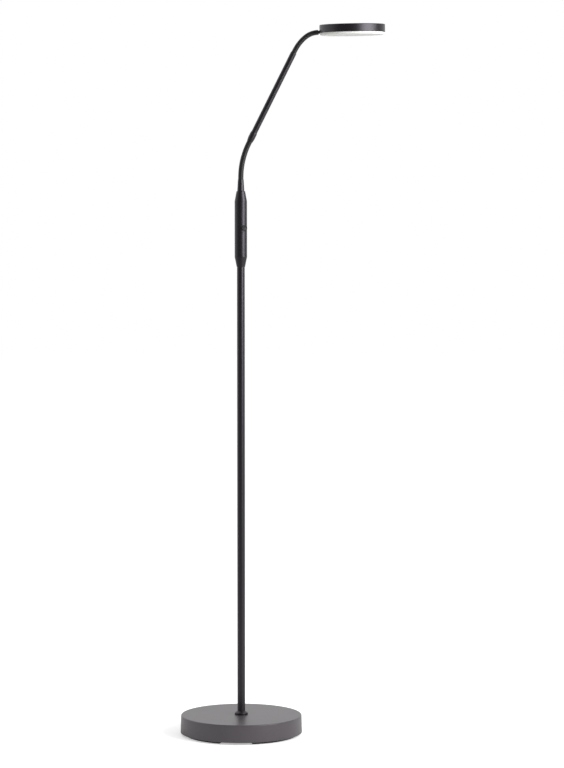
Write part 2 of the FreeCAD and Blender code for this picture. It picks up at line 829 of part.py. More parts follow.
STUB_LENGTH = "(stub_seat + head_neck_gap + stub_inside)"
BRACKET_OUT = "(head_diameter / 2 - head_wall - diffuser_wall - bracket_inset)"
BOSS_X = f"(-{BRACKET_OUT} + bracket_depth / 2)"
RIM_ROOF = "(head_rim_height - head_wall)"
BOARD_UNDER = f"({RIM_ROOF} - led_board_thickness)"
EAR_TOP = f"({RIM_ROOF} - boss_height)"


def stub_hole(head, name):
    hole = cylinder(name, "stub_diameter / 2 + slide_gap", f"{STUB_LENGTH} + 1")
    return head.along_stub(hole, "-slide_gap")


def head_stub(head):
    corners = [("stub_bore / 2", "0"), ("stub_diameter / 2", "0"),
               ("stub_diameter / 2", STUB_LENGTH), ("stub_bore / 2", STUB_LENGTH)]
    head.place(head.along_stub(turned("head_stub", corners), "stub_seat"))


def head_housing(head):
    rim = "head_diameter / 2"
    inside = "head_diameter / 2 - head_wall"
    corners = [(inside, "0"), (rim, "0"), (rim, "head_rim_height"), ("0", "head_rim_height"),
               ("0", RIM_ROOF), (inside, RIM_ROOF)]
    shell = turned("head_housing_shell", corners)
    rounded(shell, "head_edge_radius", [(rim, "head_rim_height")])
    solids = [shell]
    tools = [stub_hole(head, "head_housing_notch")]
    for index, side in enumerate((-1, 1)):
        boss = cylinder(f"housing_boss_{index}", "bracket_screw_diameter + slide_gap",
                        "boss_height + head_wall / 2")
        solids.append(at(boss, BOSS_X, f"{side} * bracket_screw_spacing / 2", EAR_TOP))
        hole = cylinder(f"housing_boss_hole_{index}", "bracket_screw_diameter / 2 + seat_gap",
                        "boss_height")
        tools.append(at(hole, BOSS_X, f"{side} * bracket_screw_spacing / 2", EAR_TOP))
    head.place(cut("head_housing", fused("head_housing_blank", *solids), *tools))


def head_bracket(head):
    """The block that grips the stub, hung by its ears from the housing's bosses."""
    blank = block("bracket_block", "bracket_depth", "bracket_width", "bracket_height")
    at(blank, f"-{BRACKET_OUT}", "-bracket_width / 2", f"{EAR_TOP} - bracket_height")
    ears = block("bracket_ears", "bracket_depth", "bracket_screw_spacing + 2 * bracket_ear_radius",
                 "bracket_ear")
    at(ears, f"-{BRACKET_OUT}", "-bracket_screw_spacing / 2 - bracket_ear_radius",
       f"{EAR_TOP} - bracket_ear")
    tools = [stub_hole(head, "bracket_bore")]
    screws = []
    for index, side in enumerate((-1, 1)):
        hole = cylinder(f"bracket_hole_{index}", "bracket_screw_diameter / 2 + slide_gap",
                        "2 * bracket_ear")
        y = f"{side} * bracket_screw_spacing / 2"
        tools.append(at(hole, BOSS_X, y, f"{EAR_TOP} - 1.5 * bracket_ear"))
        corners = [("0", "-screw_head_height / 2"),
                   ("bracket_screw_head / 2", "-screw_head_height / 2"),
                   ("bracket_screw_head / 2", "0"),
                   ("bracket_screw_diameter / 2", "0"),
                   ("bracket_screw_diameter / 2", "bracket_ear + boss_height - slide_gap"),
                   ("0", "bracket_ear + boss_height - slide_gap")]
        screw = turned(f"bracket_screw_{index}", corners)
        screws.append(at(screw, BOSS_X, y, f"{EAR_TOP} - bracket_ear"))
    head.place(cut("head_bracket", fused("head_bracket_blank", blank, ears), *tools))
    head.place(grouped("head_bracket_screws", screws))


def led_parts(head):
    corners = [("0", BOARD_UNDER), ("led_board_diameter / 2", BOARD_UNDER),
               ("led_board_diameter / 2", RIM_ROOF), ("0", RIM_ROOF)]
    head.place(turned("led_board", corners))
    chips = []
    for ring, share in enumerate(LED_RINGS):
        radius = size(f"led_board_diameter / 2 * {share}")
        count = max(1, round(2 * math.pi * radius / size("led_pitch")))
        for index in range(count):
            chip = block(f"led_{ring}_{index}", "led_size", "led_size", "led_height")
            spin = Rotation(Vector(0, 0, 1), 360 * index / count)
            corner = Vector(radius - size("led_size") / 2, -size("led_size") / 2,
                            size(f"{BOARD_UNDER} - led_height"))
            chip.Placement = Placement(spin.multVec(corner), spin)
            chips.append(chip)
    head.place(grouped("led_chips", chips))


def reflector(head):
    """A thin white cone from the board's edge to the top of the diffuser's wall."""
    top = BOARD_UNDER
    foot = "diffuser_lip"
    edge = "head_diameter / 2 - head_wall - snap_gap"
    inner = "led_board_diameter / 2"
    thick = "reflector_thickness"
    corners = [(f"{inner} - 3 * {thick}", f"{top} - {thick}"),
               (f"{inner}", f"{top} - {thick}"),
               (f"{edge} - 2 * {thick}", foot),
               (f"{edge}", foot),
               (f"{edge}", f"{foot} + {thick}"),
               (f"{edge} - 1.5 * {thick}", f"{foot} + {thick}"),
               (f"{inner} + {thick} / 2", top),
               (f"{inner} - 3 * {thick}", top)]
    ring = turned("reflector_ring", corners)
    width = "(bracket_screw_spacing + 4 * bracket_ear_radius)"
    space = block("reflector_gap", "2.4 * bracket_depth", width, "head_rim_height")
    at(space, f"-{BRACKET_OUT} - bracket_depth", f"-{width} / 2", "0")
    head.place(cut("reflector", ring, space))


def diffuser(head):
    rim = "diffuser_diameter / 2"
    lip = "head_diameter / 2 - head_wall - snap_gap"
    inside = f"{lip} - diffuser_wall"
    corners = [("0", "-diffuser_drop"), (rim, "-diffuser_drop"), (rim, "0"), (lip, "0"),
               (lip, "diffuser_lip"), (inside, "diffuser_lip"),
               (inside, "diffuser_face - diffuser_drop"), ("0", "diffuser_face - diffuser_drop")]
    dish = turned("diffuser_dish", corners)
    rounded(dish, "diffuser_edge_radius", [(rim, "-diffuser_drop")])
    head.place(cut("diffuser", dish, stub_hole(head, "diffuser_notch")))


# ---------------------------------------------------------------- the whole lamp

foot_pads()
base_plate()
base_screws()
base_cover()
base_weight()
pole_fixing()
cord_grommet()
pole_parts()
handle_lower_cone()
handle_tube()
handle_upper_cone()
handle_electronics()
button_parts()
neck_ferrule()

lower = Neck("lower", "lower_neck_diameter", Vector(0, 0, size(NECK_START)), 0,
             [(size("lower_neck_radius"), size("arm_tilt"))],
             size("lower_neck_straight"), size("lower_neck_straight"), size("arm_tilt"))
lower.finish = shank_finish
place_neck(lower)
arm_parts(lower.end)
arm_end = lower.end + heading(size("arm_tilt")) * size("arm_length")
upper = Neck("upper", "upper_neck_diameter", arm_end, size("arm_tilt"),
             [(size("upper_first_radius"), size("upper_first_tilt")),
              (size("upper_second_radius"), size("upper_second_tilt"))],
             size("upper_neck_straight"), size("upper_neck_end"), size("head_entry_tilt"))
upper.finish = stub_finish
place_neck(upper)

head = Head(upper.end)
head_stub(head)
head_housing(head)
head_bracket(head)
led_parts(head)
reflector(head)
diffuser(head)
DOC.recompute()

NODES = [
    *FOOT_NAMES,
    "base_plate", "base_plate_screws", "base_cover", "base_weight", "base_nipple", "base_washer",
    "base_locknut", "cord_grommet", "pole", "pole_collar", "pole_foot_bush", "pole_lead",
    "handle_lower_cone", "handle_tube", "handle_upper_cone", "dimmer_board", "tact_switch",
    "board_components", "button_bezel", "button", "switch_plunger", "neck_ferrule",
    "arm_ferrule", "arm_tube", "arm_lead", "head_stub", "head_housing", "head_bracket",
    "head_bracket_screws", "led_board", "led_chips", "reflector", "diffuser",
]
for neck in (lower, upper):
    for index in range(len(neck.points) - 1):
        NODES.append(f"{neck.name}_neck_{index:02d}")

for thing in DOC.Objects:
    for state in thing.State:
        if state in ("Invalid", "Error"):
            raise RuntimeError(f"{thing.Label} is {state}")

os.makedirs("parts", exist_ok=True)
shapes = {}
for label in NODES:
    shape = DOC.getObjectsByLabel(label)[0].Shape
    if shape.isNull() or not shape.isValid():
        raise RuntimeError(f"{label} has no valid shape")
    shapes[label] = shape
for label, shape in shapes.items():
    shape.exportStep(f"parts/{label}.step")

for neck in (lower, upper):
    for index in range(len(HINGES)):
        pivot = neck.points[index + 1]
        axis = neck.axis(index)
        print(f"{neck.name} {index + 1} {HINGES[index]} at {pivot.x:.3f} {pivot.y:.3f} {pivot.z:.3f}"
              f" axis {axis.x:.5f} {axis.y:.5f} {axis.z:.5f}")
print(f"head centre {head.centre.x:.2f} {head.centre.z:.2f}, {len(shapes)} parts")
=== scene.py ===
import bmesh
import bpy
import json
import math
from mathutils import Matrix, Vector


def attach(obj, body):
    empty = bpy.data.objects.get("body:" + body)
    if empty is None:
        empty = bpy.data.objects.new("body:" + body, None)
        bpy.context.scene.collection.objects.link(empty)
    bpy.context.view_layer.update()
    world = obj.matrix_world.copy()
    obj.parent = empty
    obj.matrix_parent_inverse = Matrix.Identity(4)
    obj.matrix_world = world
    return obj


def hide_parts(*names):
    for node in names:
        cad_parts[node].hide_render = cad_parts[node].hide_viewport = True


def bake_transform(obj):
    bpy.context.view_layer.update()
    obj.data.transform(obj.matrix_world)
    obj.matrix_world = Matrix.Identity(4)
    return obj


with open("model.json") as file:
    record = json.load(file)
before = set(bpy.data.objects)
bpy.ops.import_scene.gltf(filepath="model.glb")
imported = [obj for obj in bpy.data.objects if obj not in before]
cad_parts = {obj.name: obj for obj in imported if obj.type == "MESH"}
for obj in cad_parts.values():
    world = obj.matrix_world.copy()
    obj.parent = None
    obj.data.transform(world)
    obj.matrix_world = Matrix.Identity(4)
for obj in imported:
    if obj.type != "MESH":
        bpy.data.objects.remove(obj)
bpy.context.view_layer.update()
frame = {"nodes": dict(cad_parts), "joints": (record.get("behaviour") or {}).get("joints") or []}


# ---- Foot pads
# Four arcs of black moulded rubber, glued under the bottom plate. Their edges are rounded
# by the mould, and their underside has fine concentric ribs that grip the floor.

class Feed:
    """One output of a finish's nodes. Sums on it add Math nodes."""

    def __init__(self, socket):
        self.socket = socket

    def add(self, kind, settings, inputs, output=0):
        """Adds a node: first its settings, then the values or links of its sockets."""
        tree = self.socket.id_data
        node = tree.nodes.new(kind)
        for name, value in settings.items():
            setattr(node, name, value)
        for name, value in inputs.items():
            if isinstance(value, Feed):
                tree.links.new(value.socket, node.inputs[name])
            else:
                node.inputs[name].default_value = value
        return Feed(node.outputs[output])

    def maths(self, operation, *others):
        """A Math node on this value and any others after it."""
        terms = dict(enumerate((self, *others)))
        return self.add("ShaderNodeMath", {"operation": operation}, terms)

    def __add__(self, other):
        return self.maths("ADD", other)

    __radd__ = __add__

    def __sub__(self, other):
        return self.maths("SUBTRACT", other)

    def __rsub__(self, other):
        return self.add("ShaderNodeMath", {"operation": "SUBTRACT"}, {0: other, 1: self})

    def __mul__(self, other):
        return self.maths("MULTIPLY", other)

    __rmul__ = __mul__

    def step(self, low, high):
        """Runs smoothly from 0 at low to 1 at high."""
        return self.add("ShaderNodeMapRange", {"interpolation_type": "SMOOTHSTEP"},
                        {"Value": self, "From Min": low, "From Max": high})

    def grain(self, size, detail=3.0, stretch=(1, 1, 1)):
        """Noise on a point's place, whose patches are about this many millimetres wide."""
        place = self.add("ShaderNodeVectorMath", {"operation": "MULTIPLY"}, {0: self, 1: stretch})
        return self.add("ShaderNodeTexNoise", {},
                        {"Vector": place, "Scale": 1000 / size, "Detail": detail})

    def between(self, first, second):
        """A colour between two, by this factor."""
        return self.add("ShaderNodeMix", {"data_type": "RGBA"},
                        {0: self, 6: (*first, 1), 7: (*second, 1)}, 2)


class Finish:
    """A material on one shader, with the feed of a point's place on the lamp."""

    def __init__(self, name, **plain):
        self.material = bpy.data.materials.new(name)
        self.material.use_nodes = True
        self.shader = self.material.node_tree.nodes["Principled BSDF"]
        for socket, value in plain.items():
            self.shader.inputs[socket.replace("_", " ")].default_value = value
        place = self.material.node_tree.nodes.new("ShaderNodeTexCoord")
        self.place = Feed(place.outputs["Object"])
        split = self.place.add("ShaderNodeSeparateXYZ", {}, {0: self.place})
        self.x, self.y, self.z = [Feed(out) for out in split.socket.node.outputs]

    def vary(self, socket, feed):
        """Lets a feed set one of the shader's sockets."""
        self.material.node_tree.links.new(feed.socket, self.shader.inputs[socket])

    def relief(self, height, depth):
        """Lets the light see a height that runs from 0 to 1, times a depth in millimetres."""
        self.vary("Normal", height.add("ShaderNodeBump", {},
                                       {"Distance": depth / 1000, "Height": height}))

    def radius(self):
        """How far a point is from the lamp's axis."""
        return (self.x * self.x + self.y * self.y).maths("SQRT")


def piece(name, body, finish, slot, rides, *stands_for):
    """Makes an object of a finished mesh and hides the CAD nodes that it stands for. Given one
    body, it hangs from that body's empty; given two bodies and a stretch from start to end, it
    stays unparented where it was built."""
    mesh = bpy.data.meshes.new(name)
    body.to_mesh(mesh)
    body.free()
    mesh.materials.append(finish.material)
    mesh.shade_smooth()
    mesh.set_sharp_from_angle(angle=math.radians(40))
    thing = bpy.data.objects.new(name, mesh)
    bpy.context.scene.collection.objects.link(thing)
    if isinstance(rides, str):
        thing.modifiers.new("even_shading", "WEIGHTED_NORMAL").keep_sharp = True
        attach(thing, rides)
    else:
        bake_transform(thing)
    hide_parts(*stands_for)


pad_inside, pad_outside, pad_height = 100, 117, 4.5
pad_arc = 56.5
first_pad = -49.9
pad_edge = 0.9
sole_rib = 2.2

rubber = Finish("moulded_rubber", Specular_IOR_Level=0.35)
speckle = rubber.place.grain(0.6, 4.0)
dust = rubber.place.grain(14.0, 5.0).step(0.45, 0.75)
rubber.vary("Base Color", (dust * 0.8 + speckle * 0.2).between((0.012, 0.012, 0.013),
                                                              (0.034, 0.033, 0.032)))
rubber.vary("Roughness", 0.7 + speckle * 0.2)
rings = (rubber.radius() * (math.tau * 1000 / sole_rib)).maths("SINE")
sole = 1 - rubber.z.step(0.0002, 0.0006)
rubber.relief(speckle * 0.15 + sole * (rings * 0.5 + 0.5), 0.25)

for index, corner in enumerate(("front_right", "rear_right", "rear_left", "front_left")):
    pad = bmesh.new()
    section = [pad.verts.new((r / 1000, 0, z / 1000))
               for r, z in ((pad_inside, 0), (pad_outside, 0), (pad_outside, pad_height),
                            (pad_inside, pad_height))]
    face = pad.faces.new(section)
    turn = math.radians(first_pad + index * 90 - pad_arc / 2)
    bmesh.ops.rotate(pad, verts=pad.verts, matrix=Matrix.Rotation(turn, 3, "Z"))
    bmesh.ops.spin(pad, geom=[face], axis=(0, 0, 1), angle=math.radians(pad_arc), steps=30)
    bmesh.ops.recalc_face_normals(pad, faces=pad.faces)
    sharp = [e for e in pad.edges if len(e.link_faces) == 2 and e.calc_face_angle() > 0.8]
    bmesh.ops.bevel(pad, geom=sharp, offset=pad_edge / 1000, affect="EDGES", segments=4,
                    profile=0.5, material=-1)
    piece(f"rubber_foot_{corner}", pad, rubber, "black_rubber", "stand", f"foot_pad_{corner}")


# ---- Bottom plate
# A thin steel disc that closes the base from below, dipped in black paint. The rolled
# sheet's grain shows through the thin coat.

def dress(finish, *names):
    """Gives CAD nodes whose shape is right their finish."""
    for name in names:
        for slot in frame["nodes"][name].material_slots:
            slot.material = finish.material


plate_paint = Finish("dipped_black_paint", Coat_Weight=0.1, Coat_Roughness=0.3)
rolling = plate_paint.place.grain(1.2, 4.0, (0.04, 1, 1))
plate_paint.vary("Base Color", plate_paint.place.grain(30.0, 4.0).between((0.018, 0.018, 0.018),
                                                                         (0.034, 0.033, 0.033)))
plate_paint.vary("Roughness", 0.38 + rolling * 0.22)
plate_paint.relief(rolling, 0.02)
dress(plate_paint, "base_plate")


# ---- Plate screws
# Three zinc plated pan-head screws that hold the plate to the ballast's bosses. Each has
# a cross recess, pressed into its head, and shallow thread turns along its shank.

def turned(outline, rounds=(), steps=96):
    """A shape turned about Z from an outline of radius and height in millimetres. rounds
    lists a corner's place in the outline and its radius. An outline from axis to axis stays
    open there."""
    body = bmesh.new()
    corners = [body.verts.new((r / 1000, 0, z / 1000)) for r, z in outline]
    joined = list(zip(corners, corners[1:]))
    if outline[0][0] > 0:
        joined.append((corners[-1], corners[0]))
    for pair in joined:
        body.edges.new(pair)
    for corner, radius in rounds:
        bmesh.ops.bevel(body, geom=[corners[corner]], offset=radius / 1000, affect="VERTICES",
                        segments=5, profile=0.5, material=-1)
    bmesh.ops.spin(body, geom=body.verts[:] + body.edges[:], axis=(0, 0, 1), angle=math.tau,
                   steps=steps, use_merge=True)
    bmesh.ops.remove_doubles(body, verts=body.verts, dist=1e-7)
    bmesh.ops.recalc_face_normals(body, faces=body.faces)
    return body


def placed(body, matrix):
    """Moves a finished shape to its place on the lamp."""
    bmesh.ops.transform(body, matrix=matrix, verts=body.verts)
    return body


def bored(body, tool):
    """Takes the tool's space out of a body."""
    pair = []
    for shape in (body, tool):
        mesh = bpy.data.meshes.new("bore")
        shape.to_mesh(mesh)
        shape.free()
        thing = bpy.data.objects.new("bore", mesh)
        bpy.context.scene.collection.objects.link(thing)
        pair.append(thing)
    bore = pair[0].modifiers.new("bore", "BOOLEAN")
    bore.object = pair[1]
    bore.solver = "EXACT"
    result = pair[0].evaluated_get(bpy.context.evaluated_depsgraph_get())
    done = bmesh.new()
    done.from_mesh(result.to_mesh())
    for thing in pair:
        bpy.data.objects.remove(thing)
    return done


def together(bodies):
    """Joins separate shapes into one mesh."""
    whole = bmesh.new()
    for body in bodies:
        mesh = bpy.data.meshes.new("part")
        body.to_mesh(mesh)
        body.free()
        whole.from_mesh(mesh)
        bpy.data.meshes.remove(mesh)
    return whole


def screw(head, height, shank, length, threads):
    """A pan-head screw standing on its head, its recess facing down."""
    dome, thread_depth, recess_turn = 0.8, 0.25, 20
    turn = length / threads
    outline = [(0, -height), (head / 2 - dome, -height), (head / 2, -height * 0.45),
               (head / 2, 0), (shank / 2, 0)]
    for number in range(threads):
        outline += [(shank / 2 - thread_depth, (number + 0.5) * turn),
                    (shank / 2, (number + 1) * turn)]
    outline.append((0, length))
    body = turned(outline, [(1, 0.3), (2, 0.3), (3, 0.15)], 40)
    face = Matrix.Translation((0, 0, -height / 1000))
    for quarter in (0, 90):
        slot = bmesh.new()
        bmesh.ops.create_cube(slot, size=1)
        bmesh.ops.scale(slot, vec=Vector((head * 0.54, head * 0.13, height * 1.2)) / 1000,
                        verts=slot.verts)
        tip = [v for v in slot.verts if v.co.z > 0]
        bmesh.ops.scale(slot, vec=(0.6, 0.7, 1), verts=tip)
        turned_by = Matrix.Rotation(math.radians(quarter + recess_turn), 4, "Z")
        body = bored(body, placed(slot, face @ turned_by))
    return body


screw_circle = 80

zinc = Finish("zinc_plate", Metallic=1.0)
brushing = zinc.place.grain(0.25, 3.0, (1, 1, 0.1))
bloom = zinc.place.grain(3.0, 4.0)
zinc.vary("Base Color", bloom.between((0.46, 0.47, 0.48), (0.66, 0.66, 0.64)))
zinc.vary("Roughness", 0.2 + brushing * 0.14 + bloom * 0.08)
zinc.relief(brushing, 0.004)

screws = []
for turn in (-90, 30, 150):
    centre = Vector((screw_circle * math.cos(math.radians(turn)),
                     screw_circle * math.sin(math.radians(turn)), pad_height))
    screws.append(placed(screw(head=7.0, height=2.0, shank=4.0, length=12.0, threads=12),
                         Matrix.Translation(centre / 1000)))
piece("plate_screws", together(screws), zinc, "plated_steel", "stand", "base_plate_screws")


# ---- Base cover
# A deep-drawn steel shell with a slightly tapered skirt and a rounded rim, sprayed with a
# dark satin powder coat. The coat has a fine orange peel, and is a little rubbed at the rim.

def rod(radius, low, high, steps):
    """A plain round bar along Z, to bore a hole of its size."""
    return turned([(0, low), (radius, low), (radius, high), (0, high)], (), steps)


base_radius, cover_top, sheet = 126, 40.8, 1.5
skirt_draw_in = 1
pole_hole = 5.2
inlet_height, inlet_radius = 14, 4.55

cover_coat = Finish("base_powder_coat", IOR=1.65, Specular_Tint=(0.98, 0.92, 1.0, 1))
peel = cover_coat.place.grain(0.7, 3.0)
mottle = cover_coat.place.grain(60.0, 4.0)
scuffs = cover_coat.place.grain(9.0, 6.0, (1, 1, 3)).step(0.52, 0.7)
rim = cover_coat.radius().step(0.1235, 0.1247) * cover_coat.z.step(0.0385, 0.0405)
worn = rim * scuffs
cover_coat.vary("Base Color", (worn * 0.7 + mottle * 0.3).between((0.058, 0.052, 0.056),
                                                                (0.092, 0.085, 0.089)))
cover_coat.vary("Roughness", 0.34 + peel * 0.04 + mottle * 0.04 - worn * 0.08)
cover_coat.relief(peel, 0.008)

roof_radius = base_radius - skirt_draw_in
cover = turned([(base_radius - sheet, pad_height), (base_radius, pad_height),
                (roof_radius, cover_top), (pole_hole, cover_top),
                (pole_hole, cover_top - sheet), (roof_radius - sheet, cover_top - sheet)],
               [(1, 0.5), (2, 2.0), (5, 1.0)], 256)
to_rear = (Matrix.Translation((0, 0, inlet_height / 1000))
           @ Matrix.Rotation(math.radians(-90), 4, "X"))
inlet = rod(inlet_radius, base_radius - 8, base_radius + 6, 48)
piece("base_cover_shell", bored(cover, placed(inlet, to_rear)), cover_coat, "black_paint",
      "stand", "base_cover")


# ---- Cord grommet
# A soft rubber bush pressed into the back of the skirt, with a flange on each side of
# the sheet. It keeps the mains cord off the hole's edge.

cord_bore, grommet_waist, grommet_flange = 3.25, 4.5, 6.5
grommet_back, grommet_front = 122.468, 127.338
flange_width = 1.4

waist_back, waist_front = grommet_back + flange_width, grommet_front - flange_width
grommet = turned([(cord_bore, grommet_back), (grommet_flange, grommet_back),
                  (grommet_flange, waist_back), (grommet_waist, waist_back),
                  (grommet_waist, waist_front), (grommet_flange, waist_front),
                  (grommet_flange, grommet_front), (cord_bore, grommet_front)],
                 [(0, 0.4), (1, 0.5), (5, 0.3), (6, 0.6), (7, 0.6)], 64)
piece("grommet_bush", placed(grommet, to_rear), rubber, "black_rubber", "stand", "cord_grommet")


# ---- Ballast and the fixing of the pole
# A cast iron disc under the cover, as it came from its sand mould. A plated threaded
# nipple with a washer and a locknut clamps it, the cover and the pole together.

iron = Finish("cast_iron_skin", Metallic=0.6)
sand = iron.place.grain(1.1, 5.0)
iron.vary("Base Color", iron.place.grain(18.0, 5.0).between((0.05, 0.048, 0.046),
                                                           (0.15, 0.13, 0.115)))
iron.vary("Roughness", 0.55 + sand * 0.3)
iron.relief(sand, 0.3)
dress(iron, "base_weight")
dress(zinc, "base_nipple", "base_washer", "base_locknut")


# ---- Pole collar
# A turned steel disc with a coned top that hides the joint of pole and base. It has the
# pole's fine black powder coat, and its sharp corners are broken.

pole_radius = 8
seat_gap = 0.05
cone_lip = 0.6
collar_radius, collar_side, collar_height = 13.75, 4, 7.5

powder_coat = Finish("satin_powder_coat", IOR=1.6, Specular_Tint=(0.93, 0.88, 1.0, 1))
peel = powder_coat.place.grain(0.7, 3.0)
mottle = powder_coat.place.grain(45.0, 4.0)
powder_coat.vary("Base Color", (peel * 0.3 + mottle * 0.7).between((0.0045, 0.0038, 0.0043),
                                                                  (0.0085, 0.0072, 0.008)))
powder_coat.vary("Roughness", 0.35 + peel * 0.04 + mottle * 0.04)
powder_coat.relief(peel, 0.005)

pole_bore = pole_radius + seat_gap
collar_top = cover_top + collar_height
collar = turned([(pole_bore, cover_top), (collar_radius, cover_top),
                 (collar_radius, cover_top + collar_side), (pole_radius + cone_lip, collar_top),
                 (pole_bore, collar_top)],
                [(1, 0.3), (2, 0.7), (3, 0.4)], 96)
piece("collar_disc", collar, powder_coat, "black_paint", "stand", "pole_collar")


# ---- Pole
# One length of drawn steel tube, powder coated. A plastic bush guides it on the nipple,
# and the black jacketed lead runs up inside it.

def tube(inner, outer, low, high, rounds, steps):
    """A straight tube along Z, whose corners count from the inside of its foot outwards."""
    return turned([(inner, low), (outer, low), (outer, high), (inner, high)], rounds, steps)


pole_wall, pole_top = 1.2, 987.8

pole_tube = tube(pole_radius - pole_wall, pole_radius, cover_top, pole_top,
                 [(1, 0.3), (2, 0.3)], 64)
bmesh.ops.subdivide_edges(pole_tube, cuts=7,
                          edges=[e for e in pole_tube.edges if e.calc_length() > 0.5])
piece("pole_tube", pole_tube, powder_coat, "black_paint", "stand", "pole")

jacket = Finish("black_plastic")
moulding = jacket.place.grain(0.9, 3.0)
jacket.vary("Base Color", moulding.between((0.016, 0.016, 0.017), (0.036, 0.036, 0.037)))
jacket.vary("Roughness", 0.42 + moulding * 0.2)
jacket.relief(moulding, 0.02)
dress(jacket, "pole_foot_bush", "pole_lead")


# ---- Handle
# A coated steel tube as a grip, between two turned cones that are pressed into its ends.
# Fine chamfers show as a thin line where the parts meet. The button's ring sits in its wall.

grip_radius, grip_wall = 12.75, 1.15
cone_foot, grip_foot, grip_top, cone_top = 969.3, 989.8, 1103.5, 1124.2
cone_top_radius = 8.85
tenon_length, joint_depth = 8, 10
lead_way = 2.7
spigot_radius = 5.0
button_height, button_turn, window_radius = 1048.8, -52, 6.5

grip_bore = grip_radius - grip_wall
tenon = grip_bore - seat_gap
lower_cone = turned([(pole_bore, cone_foot), (pole_radius + cone_lip, cone_foot),
                     (grip_radius, grip_foot), (tenon, grip_foot),
                     (tenon, grip_foot + tenon_length), (lead_way, grip_foot + tenon_length),
                     (lead_way, pole_top), (pole_bore, pole_top)],
                    [(1, 0.25), (2, 0.2)], 96)
piece("grip_lower_cone", lower_cone, powder_coat, "black_paint", "stand", "handle_lower_cone")

grip = tube(grip_bore, grip_radius, grip_foot, grip_top, [(1, 0.2), (2, 0.2)], 96)
to_button = (Matrix.Translation((0, 0, button_height / 1000))
             @ Matrix.Rotation(math.radians(button_turn), 4, "Z")
             @ Matrix.Rotation(math.radians(90), 4, "Y"))
window = rod(window_radius, 4, 20, 64)
piece("grip_tube", bored(grip, placed(window, to_button)), powder_coat, "black_paint", "stand",
      "handle_tube")

cone_socket = spigot_radius + seat_gap
upper_cone = turned([(lead_way, grip_top - tenon_length), (tenon, grip_top - tenon_length),
                     (tenon, grip_top), (grip_radius, grip_top), (cone_top_radius, cone_top),
                     (cone_socket, cone_top), (cone_socket, cone_top - joint_depth),
                     (lead_way, cone_top - joint_depth)],
                    [(3, 0.2), (4, 0.35)], 96)
piece("grip_upper_cone", upper_cone, powder_coat, "black_paint", "stand", "handle_upper_cone")


# ---- Dimmer
# A narrow glass-fibre board in the handle under green lacquer, held by slots in the cones.
# It carries the push switch and a few moulded components.

lacquer = Finish("board_lacquer", Coat_Weight=0.4, Coat_Roughness=0.15)
across = (lacquer.x * 2100 + lacquer.y * 1700).maths("COSINE")
copper = ((lacquer.z * 2600).maths("SINE") * across).step(0.2, 0.35)
lacquer.vary("Base Color", copper.between((0.008, 0.07, 0.026), (0.02, 0.14, 0.05)))
lacquer.vary("Roughness", 0.35 + lacquer.place.grain(2.0) * 0.15)
lacquer.relief(copper, 0.03)
dress(lacquer, "dimmer_board")
dress(jacket, "tact_switch", "board_components")


# ---- Button ring
# A glossy moulded ring, pushed through the grip's wall from inside. Its front edge is
# rounded and stands a little proud of the paint.

ring_back, cap_stop, ring_front = 7.464, 9.664, 13.35
ring_mouth, ring_inside, ring_flange = 5.1, 6.0, 7.6
ring_flange_width = 1.2

gloss = Finish("gloss_plastic", IOR=1.4)
haze = gloss.place.grain(2.5, 4.0)
gloss.vary("Base Color", haze.between((0.008, 0.008, 0.009), (0.016, 0.015, 0.016)))
gloss.vary("Roughness", 0.42 + haze * 0.1)
gloss.relief(haze, 0.008)

barrel = window_radius - seat_gap
flange_face = ring_back + ring_flange_width
ring = turned([(ring_inside, ring_back), (ring_flange, ring_back), (ring_flange, flange_face),
               (barrel, flange_face), (barrel, ring_front), (ring_mouth, ring_front),
               (ring_mouth, cap_stop), (ring_inside, cap_stop)],
              [(4, 0.45), (5, 0.35)], 72)
piece("button_ring", placed(ring, to_button), gloss, "button_black", "stand", "button_bezel")


# ---- Button
# The sprung cap that dims and switches the light, moulded with a shallow finger dish. It
# slides in the ring, and pushes the switch's plunger.

slide_gap = 0.1
cap_radius, cap_front = 4.9, 12.75
stem_radius, stem_end = 1.7, 6.9
cap_flange, cap_flange_width = 5.8, 1.0

flange_front = cap_stop - slide_gap
flange_back = flange_front - cap_flange_width
cap = turned([(0, stem_end), (stem_radius, stem_end), (stem_radius, flange_back),
              (cap_flange, flange_back), (cap_flange, flange_front), (cap_radius, flange_front),
              (cap_radius, cap_front), (3.6, cap_front - 0.13), (2.0, cap_front - 0.35),
              (0, cap_front - 0.45)],
             [(6, 0.35), (7, 0.5), (8, 0.6)], 72)
piece("button_cap", placed(cap, to_button), gloss, "button_black", "button", "button")
dress(jacket, "switch_plunger")


# ---- Neck ferrule
# A tapered turned ferrule, screwed into the upper cone. The lower neck is crimped into
# the socket in its top.

ferrule_foot, ferrule_mouth = 7.3, 5.9
ferrule_top = 1148.2
neck_socket = 5.0

ferrule = turned([(lead_way, cone_top - joint_depth), (spigot_radius, cone_top - joint_depth),
                  (spigot_radius, cone_top), (ferrule_foot, cone_top),
                  (ferrule_mouth, ferrule_top), (neck_socket, ferrule_top),
                  (neck_socket, ferrule_top - joint_depth), (lead_way, ferrule_top - joint_depth)],
                 [(3, 0.35), (4, 0.3)], 80)
piece("lower_ferrule", ferrule, powder_coat, "black_paint", "stand", "neck_ferrule")


# ---- Lower neck
# A flexible tube of interlocked steel strip, blackened and lightly oiled. It bends at any turn and
# stays put, so each hinge has a ribbed sleeve between its two bodies.

strip = Finish("blackened_strip", IOR=1.5)
wear = strip.place.grain(1.6, 5.0)
strip.vary("Base Color", wear.between((0.008, 0.0072, 0.0078), (0.02, 0.018, 0.019)))
strip.vary("Roughness", 0.36 + wear * 0.1)
strip.relief(strip.place.grain(0.3), 0.01)

strip_turn, rib_height, neck_bore = 2.3, 0.35, 3.0


